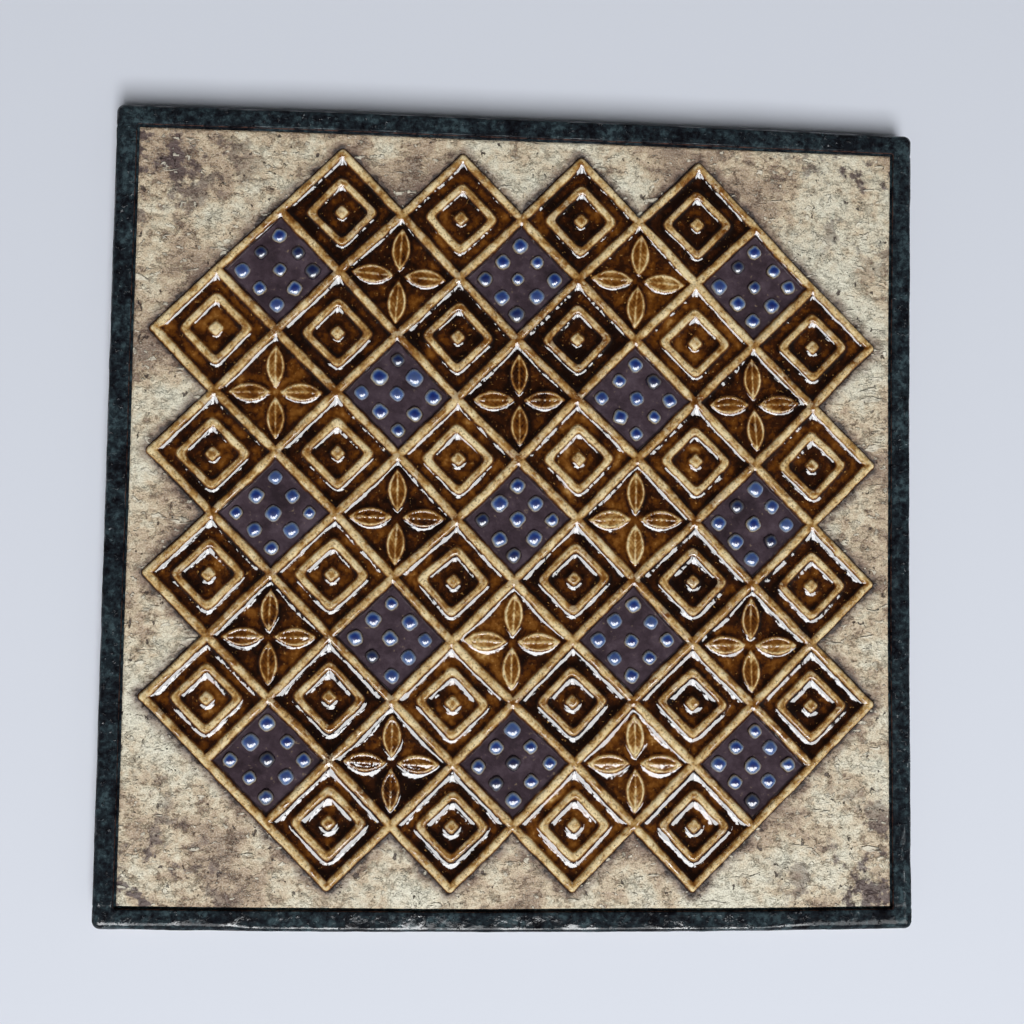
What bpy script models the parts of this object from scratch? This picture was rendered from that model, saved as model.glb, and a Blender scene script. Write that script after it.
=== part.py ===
"""Square ceramic wall plaque with a low relief of lozenges, lying on its back.

Metres, +Z up. The origin is the middle of the back face. Seen from the front, +X is to
the right and +Y to the top. The plaque is one fired piece, so it is one solid: a slab
with a raised border, a narrow groove inside the border, a flat field, and a lattice of
57 lozenge cells that stands up from the field.
"""

import math

import bmesh
import bpy

# Slab and border
SIDE = 0.300  # outside width and height
HALF = SIDE / 2
BORDER_Z = 0.0160  # top of the border above the back
FIELD_Z = 0.0152  # flat field inside the border
BORDER_WIDTH = 0.0076
EDGE_RADIUS = 0.0030  # rounding of the border's outer edge, seen in section
INNER_ROUNDING = 0.0008
GROOVE_WIDTH = 0.0010
GROOVE_FLOOR = 0.0004  # width of its flat bottom
GROOVE_DEPTH = 0.0012  # below the field
BACK_CHAMFER = 0.0010
CORNER_RADIUS = 0.0030  # in plan
LEAST_RADIUS = 0.0008  # in plan, at the field's corners
CORNER_STEPS = 4
EDGE_STEPS = 4
SIDE_STEPS = 8

# How the hand-cut slab departs from a true square
BOTTOM_BULGE = 0.0012
TOP_BULGE = 0.0004
RIGHT_HOLLOW = 0.0009
WOBBLE = 0.0008  # of the lattice lines
WOBBLE_LENGTH = 0.115
WOBBLE_PHASE = 0.7

# Lattice: square cells of this pitch, turned by 45 degrees into lozenges
HALF_DIAGONAL = 0.0223
PITCH = HALF_DIAGONAL * math.sqrt(2)
MOST_ALONG = 4  # cells from the middle along one diagonal of the plaque
MOST_TOGETHER = 5  # sum of a cell's two counts
RIB_WIDTH = 0.0024  # flat top of a rib
RIB_SLOPE = 0.0008  # width of a rib's sloping side
RIB_Z = FIELD_Z + 0.0021
FLOOR_Z = FIELD_Z + 0.0003
FLOOR_HALF = PITCH / 2 - RIB_WIDTH / 2 - RIB_SLOPE
SUNK = 0.0020  # how far the lattice's underside lies below the field, inside the slab

# What stands in the cells
RISE_SLOPE = 0.0008  # width of each raised form's sloping side
RIDGE_HALF = 0.0085  # nested lozenge ridge, to the middle of its top
RIDGE_TOP = 0.0018
RIDGE_HEIGHT = 0.0016  # above the cell's floor
PIP_HALF = 0.0026
PIP_HEIGHT = 0.0015
STUDS_ACROSS = 3
STUD_HALF = 0.0027
STUD_HEIGHT = 0.0018
LEAF_GAP = 0.0010  # from the leaf's tips to the lines between the quarters
LEAF_NARROWING = 0.45  # width of a leaf as a share of its length
LEAF_HEIGHT = 0.0011
LEAF_KEEL = 0.0006  # the leaf's middle above its rim

LEVEL_TOLERANCE = 0.00005


def hand_cut(x, y):
    """Where a point of the true square lies on the hand-cut plaque."""
    across = x / HALF
    up = y / HALF
    along_x = 1 - across * across
    along_y = 1 - up * up
    wave_x = math.sin(math.tau * y / WOBBLE_LENGTH + WOBBLE_PHASE)
    wave_y = math.sin(math.tau * x / WOBBLE_LENGTH - WOBBLE_PHASE)
    moved_x = WOBBLE * wave_x * along_x * along_y - RIGHT_HOLLOW * along_y * (1 + across) / 2
    moved_y = WOBBLE * wave_y * along_x * along_y + TOP_BULGE * along_x * (1 + up) / 2
    moved_y -= BOTTOM_BULGE * along_x * (1 - up) / 2
    centring = (BOTTOM_BULGE - TOP_BULGE) / 2
    return x + moved_x, y + moved_y + centring


def fired_clay():
    material = bpy.data.materials.new("glazed_clay")
    material.use_nodes = True
    shader = material.node_tree.nodes["Principled BSDF"]
    shader.inputs["Base Color"].default_value = (0.34, 0.26, 0.17, 1.0)
    shader.inputs["Roughness"].default_value = 0.4
    shader.inputs["Metallic"].default_value = 0.0
    return material


def outline(inset):
    """Plan points, anticlockwise, of the square's outline moved inwards."""
    radius = max(CORNER_RADIUS - inset, LEAST_RADIUS)
    reach = HALF - inset - radius
    arcs = []
    for quarter in range(4):
        start = math.pi / 2 * quarter
        middle = start + math.pi / 4
        centre_x = reach * math.copysign(1, math.cos(middle))
        centre_y = reach * math.copysign(1, math.sin(middle))
        angles = [start + math.pi / 2 * step / CORNER_STEPS for step in range(CORNER_STEPS + 1)]
        arcs.append([(centre_x + radius * math.cos(a), centre_y + radius * math.sin(a)) for a in angles])
    points = []
    for arc, following in zip(arcs, arcs[1:] + arcs[:1]):
        points += arc
        (x0, y0), (x1, y1) = arc[-1], following[0]
        shares = [step / SIDE_STEPS for step in range(1, SIDE_STEPS)]
        points += [(x0 + (x1 - x0) * share, y0 + (y1 - y0) * share) for share in shares]
    return points


def section():
    """(inset from the outside, height) from the back's edge round to the field's edge."""
    points = [(BACK_CHAMFER, 0.0), (0.0, BACK_CHAMFER)]
    for step in range(EDGE_STEPS + 1):
        angle = math.pi / 2 * step / EDGE_STEPS
        inset = EDGE_RADIUS * (1 - math.cos(angle))
        points.append((inset, BORDER_Z - EDGE_RADIUS * (1 - math.sin(angle))))
    points.append((BORDER_WIDTH - INNER_ROUNDING, BORDER_Z))
    points.append((BORDER_WIDTH, BORDER_Z - INNER_ROUNDING))
    groove_middle = BORDER_WIDTH + GROOVE_WIDTH / 2
    points.append((groove_middle - GROOVE_FLOOR / 2, FIELD_Z - GROOVE_DEPTH))
    points.append((groove_middle + GROOVE_FLOOR / 2, FIELD_Z - GROOVE_DEPTH))
    points.append((BORDER_WIDTH + GROOVE_WIDTH, FIELD_Z))
    return points


def new_object(name, mesh):
    data = bpy.data.meshes.new(name)
    mesh.to_mesh(data)
    mesh.free()
    made = bpy.data.objects.new(name, data)
    bpy.context.scene.collection.objects.link(made)
    return made


def make_slab():
    """The slab with its border and groove: rings of points joined along the section."""
    mesh = bmesh.new()
    rings = []
    for inset, z in section():
        plan = [hand_cut(x, y) for x, y in outline(inset)]
        rings.append([mesh.verts.new((x, y, z)) for x, y in plan])
    for low, high in zip(rings, rings[1:]):
        for i in range(len(low)):
            j = (i + 1) % len(low)
            mesh.faces.new((low[i], low[j], high[j], high[i]))
    mesh.faces.new(rings[0][::-1])
    mesh.faces.new(rings[-1])
    return new_object("plaque", mesh)


def lattice_cells():
    """(column, row) of each cell, counted from the middle along the plaque's diagonals."""
    counts = range(-MOST_ALONG, MOST_ALONG + 1)
    return [(m, n) for m in counts for n in counts if abs(m) + abs(n) <= MOST_TOGETHER]


def cell_sheet(mesh):
    """One flat square face for each cell at the ribs' height. Returns them by cell."""
    corners = {}

    def corner(column, row):
        if (column, row) not in corners:
            corners[column, row] = mesh.verts.new((column * PITCH, row * PITCH, RIB_Z))
        return corners[column, row]

    faces = {}
    for m, n in lattice_cells():
        square = ((m - 0.5, n - 0.5), (m + 0.5, n - 0.5), (m + 0.5, n + 0.5), (m - 0.5, n + 0.5))
        faces[m, n] = mesh.faces.new([corner(*place) for place in square])
    return faces


def inset(mesh, faces, width, rise=0.0):
    """Insets each face by itself, then lifts or lowers what is left of it."""
    bmesh.ops.inset_individual(mesh, faces=faces, thickness=width, use_even_offset=True)
    bmesh.ops.translate(mesh, vec=(0, 0, rise), verts=list({v for f in faces for v in f.verts}))


def split_floor(mesh, face, parts):
    """Cuts a square floor into a grid of equal squares and returns them."""
    middle = face.calc_center_median()
    bmesh.ops.subdivide_edges(mesh, edges=list(face.edges), cuts=parts - 1, use_grid_fill=True)

    def on_floor(other):
        centre = other.calc_center_median()
        level = max(abs(v.co.z - middle.z) for v in other.verts) < LEVEL_TOLERANCE
        return level and max(abs(centre.x - middle.x), abs(centre.y - middle.y)) < FLOOR_HALF

    return [other for other in mesh.faces if on_floor(other)]


def nested_lozenge(mesh, face):
    """A square ridge round a pip."""
    outer_foot = RIDGE_HALF + RIDGE_TOP / 2 + RISE_SLOPE
    inner_foot = RIDGE_HALF - RIDGE_TOP / 2 - RISE_SLOPE
    inset(mesh, [face], FLOOR_HALF - outer_foot)
    inset(mesh, [face], RISE_SLOPE, RIDGE_HEIGHT)
    inset(mesh, [face], RIDGE_TOP)
    inset(mesh, [face], RISE_SLOPE, -RIDGE_HEIGHT)
    inset(mesh, [face], inner_foot - PIP_HALF)
    inset(mesh, [face], RISE_SLOPE, PIP_HEIGHT)


def studs(mesh, face):
    """A grid of small square studs."""
    squares = split_floor(mesh, face, STUDS_ACROSS)
    inset(mesh, squares, FLOOR_HALF / STUDS_ACROSS - STUD_HALF)
    inset(mesh, squares, RISE_SLOPE, STUD_HEIGHT)


def leaves(mesh, face):
    """Four pointed leaves that spread from the cell's middle to its corners."""
    middle = face.calc_center_median()
    quarters = split_floor(mesh, face, 2)
    inset(mesh, quarters, LEAF_GAP)
    for quarter in quarters:
        centre = quarter.calc_center_median()
        outwards = (centre - middle).normalized()
        for vertex in quarter.verts:
            along = outwards * (vertex.co - centre).dot(outwards)
            vertex.co = centre + along + (vertex.co - centre - along) * LEAF_NARROWING
    inset(mesh, quarters, RISE_SLOPE, LEAF_HEIGHT)
    bmesh.ops.poke(mesh, faces=quarters, offset=LEAF_KEEL)


def grow_outline(mesh, width, drop):
    """Carries the sheet's outer edge outwards and down by one more strip."""
    edges = [edge for edge in mesh.edges if edge.is_boundary]
    outwards = {}
    for edge in edges:
        away = (edge.verts[0].co + edge.verts[1].co) / 2 - edge.link_faces[0].calc_center_median()
        step = (math.copysign(1, away.x), 0) if abs(away.x) > abs(away.y) else (0, math.copysign(1, away.y))
        for vertex in edge.verts:
            outwards.setdefault(vertex.index, set()).add(step)
    places = {tuple(vertex.co): outwards[vertex.index] for edge in edges for vertex in edge.verts}
    made = bmesh.ops.extrude_edge_only(mesh, edges=edges)["geom"]
    for vertex in (item for item in made if isinstance(item, bmesh.types.BMVert)):
        steps = places[tuple(vertex.co)]
        vertex.co.x += width * sum(step[0] for step in steps)
        vertex.co.y += width * sum(step[1] for step in steps)
        vertex.co.z -= drop


def make_relief():
    """The closed block that carries the ribs and what stands in the cells."""
    mesh = bmesh.new()
    floors = cell_sheet(mesh)
    every_floor = list(floors.values())
    inset(mesh, every_floor, RIB_WIDTH / 2)
    inset(mesh, every_floor, RIB_SLOPE, FLOOR_Z - RIB_Z)
    for (m, n), face in floors.items():
        if (m + n) % 2:
            nested_lozenge(mesh, face)
        elif m % 2:
            leaves(mesh, face)
        else:
            studs(mesh, face)
    top_half = (RIB_WIDTH / 2, 0.0)
    side = (RIB_SLOPE, RIB_Z - FLOOR_Z)
    sunk_side = (RIB_SLOPE, FLOOR_Z - FIELD_Z + SUNK)
    for width, drop in (top_half, side, sunk_side):
        mesh.verts.index_update()
        grow_outline(mesh, width, drop)
    bmesh.ops.edgeloop_fill(mesh, edges=[edge for edge in mesh.edges if edge.is_boundary])
    bmesh.ops.triangulate(mesh, faces=mesh.faces)
    bmesh.ops.recalc_face_normals(mesh, faces=mesh.faces)
    for vertex in mesh.verts:
        u, v = vertex.co.x, vertex.co.y
        x, y = (u - v) / math.sqrt(2), (u + v) / math.sqrt(2)
        vertex.co.x, vertex.co.y = hand_cut(x, y)
    return new_object("relief_block", mesh)


def join(plaque, block):
    """Makes the block one solid with the slab, as pressed clay is."""
    union = plaque.modifiers.new("relief", "BOOLEAN")
    union.operation = "UNION"
    union.solver = "EXACT"
    union.object = block
    block.hide_render = True
    block.display_type = "WIRE"


def main():
    for existing in list(bpy.data.objects):
        bpy.data.objects.remove(existing, do_unlink=True)
    plaque = make_slab()
    plaque.data.materials.append(fired_clay())
    join(plaque, make_relief())


main()
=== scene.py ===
"""Looks of a square ceramic wall plaque lying on its back: a bare clay body, a dark glossy
border, a cream field and a lattice of glazed lozenge cells in low relief. Metres, +Z up,
+Y to the top of the plaque.
"""

import math

import bpy
import numpy as np
from mathutils import Matrix, Vector


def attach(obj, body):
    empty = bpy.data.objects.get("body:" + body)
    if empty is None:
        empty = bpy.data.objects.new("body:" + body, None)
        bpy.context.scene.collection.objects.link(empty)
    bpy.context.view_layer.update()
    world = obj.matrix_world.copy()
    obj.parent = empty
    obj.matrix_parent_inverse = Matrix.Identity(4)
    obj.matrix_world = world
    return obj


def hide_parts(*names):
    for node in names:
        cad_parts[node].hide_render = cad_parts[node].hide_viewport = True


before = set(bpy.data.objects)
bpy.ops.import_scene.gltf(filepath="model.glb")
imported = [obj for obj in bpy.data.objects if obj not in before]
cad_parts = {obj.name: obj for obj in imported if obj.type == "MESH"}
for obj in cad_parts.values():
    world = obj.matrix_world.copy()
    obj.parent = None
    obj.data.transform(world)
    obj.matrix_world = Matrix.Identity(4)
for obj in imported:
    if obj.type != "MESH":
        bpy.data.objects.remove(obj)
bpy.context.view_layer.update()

MM = 0.001
CM = 0.01

# Slab and border
SIDE = 300 * MM
HALF = SIDE / 2
BORDER_Z = 16.0 * MM
FIELD_Z = 15.2 * MM
BORDER_WIDTH = 7.6 * MM
EDGE_RADIUS = 3.0 * MM
LEAST_REACH = 1.6 * MM  # how far in the border's top starts to fall, where its edge is sharpest
MOST_REACH = 4.6 * MM  # and where it is most rounded
INNER_ROUNDING = 0.8 * MM
GROOVE_WIDTH = 1.0 * MM
GROOVE_FLOOR = 0.4 * MM
GROOVE_DEPTH = 1.2 * MM
BACK_CHAMFER = 1.0 * MM
CORNER_RADIUS = 3.0 * MM
LEAST_RADIUS = 0.8 * MM
FOOT_TOP = 2.6 * MM  # where the glaze on the sides ends, over the bare foot
FIELD_HALF = HALF - BORDER_WIDTH - GROOVE_WIDTH

# How the hand-cut slab departs from a true square
BOTTOM_BULGE = 1.2 * MM
TOP_BULGE = 0.4 * MM
RIGHT_HOLLOW = 0.9 * MM
WOBBLE = 0.8 * MM
WOBBLE_LENGTH = 115 * MM
WOBBLE_PHASE = 0.7

# Lattice of square cells turned by 45 degrees
PITCH = 22.3 * MM * math.sqrt(2)
MOST_ALONG = 4
MOST_TOGETHER = 5
RIB_WIDTH = 2.4 * MM
RIB_SLOPE = 0.8 * MM
RIB_HEIGHT = 2.1 * MM  # above the field, as the other heights of the relief
FLOOR_HEIGHT = 0.3 * MM
FLOOR_HALF = PITCH / 2 - RIB_WIDTH / 2 - RIB_SLOPE
RISE_SLOPE = 0.8 * MM
RIDGE_HALF = 8.5 * MM
RIDGE_TOP = 1.8 * MM
RIDGE_HEIGHT = 1.6 * MM
RIDGE_SQUARENESS = 9  # power of the rounded square that it follows
PIP_HALF = 2.6 * MM
PIP_HEIGHT = 1.65 * MM
PIP_SQUARENESS = 4
PIP_DOMING = 0.35
STUDS_ACROSS = 3
STUD_HALF = 2.7 * MM
STUD_HEIGHT = 1.8 * MM
STUD_SQUARENESS = 2.9
STUD_DOMING = 2.1
STUD_SINK = 0.4 * MM  # how far its foot goes under the floor
LEAF_GAP = 1.0 * MM
LEAF_NARROWING = 0.45
LEAF_HEIGHT = 1.25 * MM
LEAF_RIM = 0.8 * MM
LEAF_DISH = 0.45 * MM
DISH_SLOPE = 0.9 * MM
LEAF_KEEL = 0.5 * MM
KEEL_WIDTH = 0.42 * MM
VEIN_DEPTH = 0.09 * MM
VEIN_SPACING = 1.9 * MM
VEIN_SLANT = 1.3
SLATE_DROP = 0.08 * MM  # how far the studded floors lie under the others
SLATE_EDGE = (1.7 * MM, 2.5 * MM)  # from a rib's middle to where the slip starts, and is full
RIB_DOMING = 0.32 * MM
POOL_DEPTH = 0.16 * MM  # glaze over the low parts of the relief

# How the pressed lattice departs from a true one
WARP = 0.30 * MM
WARP_LENGTH = 17 * MM
RIB_WANDER = 0.16 * MM
FLOOR_WAVES = 0.07 * MM
RIB_WAVES = 0.10 * MM
CELL_SHIFT = 0.22 * MM
CELL_TURN = math.radians(1.3)
CELL_GROWTH = 0.012
STUD_SHIFT = 0.28 * MM
STUD_TURN = math.radians(7)
STUD_GROWTH = 0.06

# Unevenness of the field, of the border's glaze and of the glaze's lower edge on the sides
WAVES = 0.13 * MM
RIPPLES = 0.035 * MM
DENT_DEPTH = 0.22 * MM
FIELD_ROUNDING = 0.35 * MM
SWELL = 0.27 * MM
SWELL_FADE = (3.0 * MM, 5.0 * MM)  # insets between which it falls to the calm share
CALM_SHARE = 0.45
CORNER_SOFTNESS = (25 * MM, 85 * MM)  # distances from a corner between which the edge gets sharp
SEAM_DEPTH = 0.22 * MM  # of the joints between the border's strips, at its corners
SEAM_WIDTH = 0.55 * MM
LIP_SWING = 0.7 * MM
LIP_SHARES = np.array([[1.0], [1.0], [0.6]])  # of the swing, in the section's lowest points

# Meshes
FINE = PITCH / 210  # spacing of the grid on which the glaze is worked out
LINES_ACROSS = 70  # mesh lines across one cell
SKIRT = 3.1 * MM  # how far the relief's mesh goes past its outermost ribs
SKIRT_LOW = -0.6 * MM  # its top there, under the field
SKIRT_BOTTOM = -1.0 * MM
BAND_ROWS = ((-4, -2), (-1, 0), (1, 2), (3, 4))  # first and last row of cells in each piece
STUD_RINGS = 9
STUD_SIDES = 28
FIELD_SPACING = 0.62 * MM
FIELD_UNDER = 0.7 * MM  # the field's mesh ends this far outside the outermost ribs' middle
FIELD_SUNK = 0.2 * MM  # how low it lies there, under the relief's mesh
# Insets of the border section's points where its top falls to the edge
FALL_INSETS = np.array([0.03, 0.1, 0.22, 0.4, 0.65, 0.95, 1.3, 1.7, 2.15, 2.65, 3.2, 4.0]) * MM
BURIED_RINGS = 3  # last points of the border's section, inside the slab
SIDE_STEPS = int(SIDE / (0.85 * MM))
CORNER_STEPS = 8

# Colours as seen, from 0 to 255, each with its place along a ramp
AMBER = (
    (0.00, (240, 218, 170)),
    (0.08, (217, 187, 133)),
    (0.18, (177, 136, 78)),
    (0.32, (131, 83, 33)),
    (0.48, (96, 53, 14)),
    (0.64, (56, 27, 10)),
    (0.86, (24, 11, 6)),
)
SLIP = ((0.36, (50, 41, 46)), (0.50, (68, 56, 63)), (0.64, (87, 74, 82)))
COBALT = (
    (0.00, (14, 30, 92)),
    (0.34, (22, 46, 118)),
    (0.52, (46, 78, 142)),
    (0.66, (104, 128, 168)),
    (0.82, (146, 152, 160)),
    (0.94, (158, 140, 112)),
    (1.00, (60, 46, 40)),
)
CREAM = (
    (0.40, (240, 234, 210)),
    (0.46, (234, 221, 192)),
    (0.50, (219, 197, 163)),
    (0.54, (189, 162, 132)),
    (0.59, (152, 127, 103)),
    (0.67, (116, 94, 80)),
)
BLUE_BLACK = (
    (0.38, (13, 12, 16)),
    (0.46, (25, 28, 33)),
    (0.53, (38, 47, 52)),
    (0.62, (66, 82, 87)),
)
BUFF = ((0.35, (186, 158, 124)), (0.50, (172, 140, 104)), (0.68, (150, 116, 82)))

# Camera, as solved from the plaque's four corners
CAMERA_PLACE = Vector((-0.0508, -0.0358, 0.6034))
CAMERA_AIM = Vector((-0.00175, 0.00261, 0.0145))
CAMERA_ROLL = math.radians(0.871)
CAMERA_LENS = 56.25
SENSOR = 36.0

# Lamps: (turn from the lower edge's side towards +X, height over the floor, half width and
# half height, all in degrees, radiance, whether it lights matt surfaces too)
LAMPS = (
    (7, 58, 16.5, 15, 17.9, True),
    (-29, 50, 20, 13, 13.0, False),
    (43, 50, 20, 13, 13.0, False),
)
LAMP_DISTANCE = 4.0
LAMP_COLOUR = (0.98, 0.99, 1.0)
ROOM_COLOUR = (0.90, 0.95, 1.0, 1.0)
ROOM_LIGHT = 0.20
ROOM_LIGHT_FULL = 35  # degrees over the floor at which it starts to fade to the ceiling's light
ROOM_LIGHT_GONE = 62
CEILING_LIGHT = 0.04
FAR_SIDE_SHARE = 0.3
FLOOR_REACH = 12.0


def smooth(value, low, high):
    """0 below low, 1 above high, and an S-shaped rise between them."""
    part = np.clip((value - low) / (high - low), 0.0, 1.0)
    return part * part * (3 - 2 * part)


def hand_cut(x, y):
    """Where points of the true square lie on the hand-cut plaque."""
    across = x / HALF
    up = y / HALF
    along_x = 1 - across * across
    along_y = 1 - up * up
    wave_x = np.sin(math.tau * y / WOBBLE_LENGTH + WOBBLE_PHASE)
    wave_y = np.sin(math.tau * x / WOBBLE_LENGTH - WOBBLE_PHASE)
    moved_x = WOBBLE * wave_x * along_x * along_y - RIGHT_HOLLOW * along_y * (1 + across) / 2
    moved_y = WOBBLE * wave_y * along_x * along_y + TOP_BULGE * along_x * (1 + up) / 2
    moved_y -= BOTTOM_BULGE * along_x * (1 - up) / 2
    centring = (BOTTOM_BULGE - TOP_BULGE) / 2
    return x + moved_x, y + moved_y + centring


def between(table, places, axis):
    """Values of a table at fractional places along one axis."""
    whole = np.clip(np.floor(places).astype(int), 0, table.shape[axis] - 2)
    part = places - whole
    shape = [1] * table.ndim
    shape[axis] = -1
    part = part.reshape(shape)
    return np.take(table, whole, axis) * (1 - part) + np.take(table, whole + 1, axis) * part


def noise(xs, ys, size, seed):
    """Smooth noise from -1 to 1 over the grid of xs by ys, with bumps about this size."""
    rng = np.random.default_rng(seed)
    shift = rng.random(2)
    along = [(places - places.min()) / size + start for places, start in zip((xs, ys), shift)]
    rounded = [np.floor(a) + smooth(a - np.floor(a), 0, 1) for a in along]
    table = rng.uniform(-1, 1, (int(along[0].max()) + 3, int(along[1].max()) + 3))
    return between(between(table, rounded[0], 0), rounded[1], 1)


def rough(xs, ys, size, seed, octaves=3):
    """Noise with finer noise on it, from about -1 to 1."""
    total = sum(noise(xs, ys, size / 2**k, seed + k) / 2**k for k in range(octaves))
    return total / (2 - 0.5 ** (octaves - 1))


def blurred(field, width):
    """A Gaussian blur of a fine grid, with its width as a real size."""
    reach = int(math.ceil(2.5 * width / FINE))
    weights = np.exp(-0.5 * (np.arange(-reach, reach + 1) * FINE / width) ** 2)
    weights /= weights.sum()
    for axis in (0, 1):
        total = np.zeros_like(field)
        for step, weight in zip(range(-reach, reach + 1), weights):
            total += weight * np.roll(field, step, axis)
        field = total
    return field


def to_diagonals(x, y):
    """Places along the lattice's two directions, from places in plan."""
    return (x + y) / math.sqrt(2), (y - x) / math.sqrt(2)


def from_diagonals(u, v):
    """Places in plan, from places along the lattice's two directions."""
    return (u - v) / math.sqrt(2), (u + v) / math.sqrt(2)


def lattice_cells():
    """(column, row) of each cell, counted from the middle along the diagonals."""
    counts = range(-MOST_ALONG, MOST_ALONG + 1)
    return [(m, n) for m in counts for n in counts if in_lattice(m, n)]


def in_lattice(m, n):
    """Whether the lattice has a cell at this column and row."""
    within = np.maximum(abs(m), abs(n)) <= MOST_ALONG
    return within & (abs(m) + abs(n) <= MOST_TOGETHER)


def rib_distance(u, v):
    """(distance to the nearest rib's middle line, whether the point is inside a cell)."""
    m = np.rint(u / PITCH).astype(int)
    n = np.rint(v / PITCH).astype(int)
    a = u - m * PITCH
    b = v - n * PITCH
    inside = in_lattice(m, n)
    outside = np.full(u.shape, PITCH)
    for dm in (-1, 0, 1):
        for dn in (-1, 0, 1):
            gap_u = np.maximum(abs(a - dm * PITCH) - PITCH / 2, 0)
            gap_v = np.maximum(abs(b - dn * PITCH) - PITCH / 2, 0)
            gap = np.hypot(gap_u, gap_v)
            outside = np.where(in_lattice(m + dm, n + dn), np.minimum(outside, gap), outside)
    return np.where(inside, PITCH / 2 - np.maximum(abs(a), abs(b)), outside), inside


def flat_top(distance, half_top, slope):
    """1 within half_top, falling to 0 over the slope, with both its edges rounded."""
    return 1 - smooth(distance, half_top - 0.25 * slope, half_top + 1.25 * slope)


def squarish(a, b, power):
    """Distance from the middle of a square with rounded corners, as its half side."""
    return (abs(a) ** power + abs(b) ** power) ** (1 / power)


def nested_lozenge(a, b):
    """Height of a square ridge round a pip."""
    from_ridge = abs(squarish(a, b, RIDGE_SQUARENESS) - RIDGE_HALF)
    ridge = flat_top(from_ridge, RIDGE_TOP / 2, RISE_SLOPE)
    from_pip = squarish(a, b, PIP_SQUARENESS)
    crown = np.sqrt(np.clip(1 - PIP_DOMING * (from_pip / PIP_HALF) ** 2, 0, 1))
    pip = flat_top(from_pip, PIP_HALF - RISE_SLOPE, RISE_SLOPE) * crown
    return np.maximum(ridge * RIDGE_HEIGHT, pip * PIP_HEIGHT)


def four_leaves(a, b):
    """Height of four pointed leaves, each with a rounded rim, a dished inside, a keel and veins."""
    centre = FLOOR_HALF / math.sqrt(2)
    half_length = (FLOOR_HALF / 2 - LEAF_GAP) * math.sqrt(2)
    half_width = half_length * LEAF_NARROWING
    height = np.zeros_like(a)
    for quarter in range(4):
        turn = math.radians(45 + 90 * quarter)
        s = a * math.cos(turn) + b * math.sin(turn) - centre
        w = b * math.cos(turn) - a * math.sin(turn)
        inward = half_width * (1 - (s / half_length) ** 2) - abs(w)
        leaf = smooth(inward, -0.1 * MM, LEAF_RIM) * LEAF_HEIGHT
        dished = smooth(inward, LEAF_RIM, LEAF_RIM + DISH_SLOPE)
        keel = np.exp(-((w / KEEL_WIDTH) ** 2)) * LEAF_KEEL
        veins = VEIN_DEPTH * np.sin(math.tau * (s + VEIN_SLANT * abs(w)) / VEIN_SPACING)
        height = np.maximum(height, leaf - dished * (LEAF_DISH - keel - veins))
    return height


def kind_of(m, n):
    """Which of the three kinds of cell a place in the lattice has."""
    if (m + n) % 2:
        return "nested"
    return "leaves" if m % 2 else "studs"


def stud_places():
    """(u, v, turn, size, tone) of each stud, each a little off its true place."""
    rng = np.random.default_rng(41)
    steps = (np.arange(STUDS_ACROSS) - (STUDS_ACROSS - 1) / 2) * 2 * FLOOR_HALF / STUDS_ACROSS
    places = []
    for m, n in lattice_cells():
        if kind_of(m, n) != "studs":
            continue
        for du in steps:
            for dv in steps:
                off_u, off_v = rng.normal(0, STUD_SHIFT, 2)
                turn = rng.normal(0, STUD_TURN)
                size = rng.normal(1, STUD_GROWTH)
                u = m * PITCH + du + off_u
                v = n * PITCH + dv + off_v
                places.append((u, v, turn, size, rng.random()))
    return places


def fine_lines():
    """Places along a diagonal of the fine grid's lines."""
    reach = (MOST_ALONG + 0.5) * PITCH + 3 * SKIRT
    count = int(reach / FINE)
    return np.arange(-count, count + 1) * FINE


def clay_relief(line):
    """Heights of the pressed clay over the field on the fine grid, and where each thing lies."""
    u = line[:, None] + WARP * rough(line, line, WARP_LENGTH, 3)
    v = line[None, :] + WARP * rough(line, line, WARP_LENGTH, 7)
    distance, inside = rib_distance(u, v)
    uneven = rough(line, line, 5 * MM, 11)
    fine = rough(line, line, 1.6 * MM, 17, 2)
    inner = FLOOR_HEIGHT + FLOOR_WAVES * uneven + 0.03 * MM * fine
    tone = np.zeros_like(inner)
    slate = np.zeros_like(inner)
    rng = np.random.default_rng(23)
    for m, n in lattice_cells():
        spans = [np.searchsorted(line, ((k - 0.5) * PITCH, (k + 0.5) * PITCH)) for k in (m, n)]
        patch = tuple(slice(*span) for span in spans)
        off_u, off_v = rng.normal(0, CELL_SHIFT, 2)
        turn = rng.normal(0, CELL_TURN)
        grown = rng.normal(1, CELL_GROWTH)
        tone[patch] = rng.uniform(-1, 1)
        a = (u[patch] - m * PITCH - off_u) * grown
        b = (v[patch] - n * PITCH - off_v) * grown
        a, b = a * math.cos(turn) + b * math.sin(turn), b * math.cos(turn) - a * math.sin(turn)
        kind = kind_of(m, n)
        if kind == "nested":
            inner[patch] += nested_lozenge(a, b)
        elif kind == "leaves":
            inner[patch] += four_leaves(a, b)
        else:
            ragged = distance[patch] + 0.35 * MM * uneven[patch]
            slate[patch] = smooth(ragged, *SLATE_EDGE)
            inner[patch] -= SLATE_DROP
    rib_half = RIB_WIDTH / 2 + RIB_WANDER * rough(line, line, 6 * MM, 29)
    rib = flat_top(distance - rib_half, 0, RIB_SLOPE)
    domed = RIB_HEIGHT - RIB_DOMING * (distance / rib_half) ** 2
    crest = domed + RIB_WAVES * uneven + 0.06 * MM * fine
    height = inner + (crest - inner) * rib
    outer = flat_top(distance - rib_half, 0, 1.5 * RIB_SLOPE)
    beyond = SKIRT_LOW + (crest - SKIRT_LOW) * outer
    return {
        "height": np.where(inside, height, beyond),
        "slate": slate * inside,
        "tone": blurred(tone, 1.2 * MM),
        "inside": inside,
    }


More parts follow.
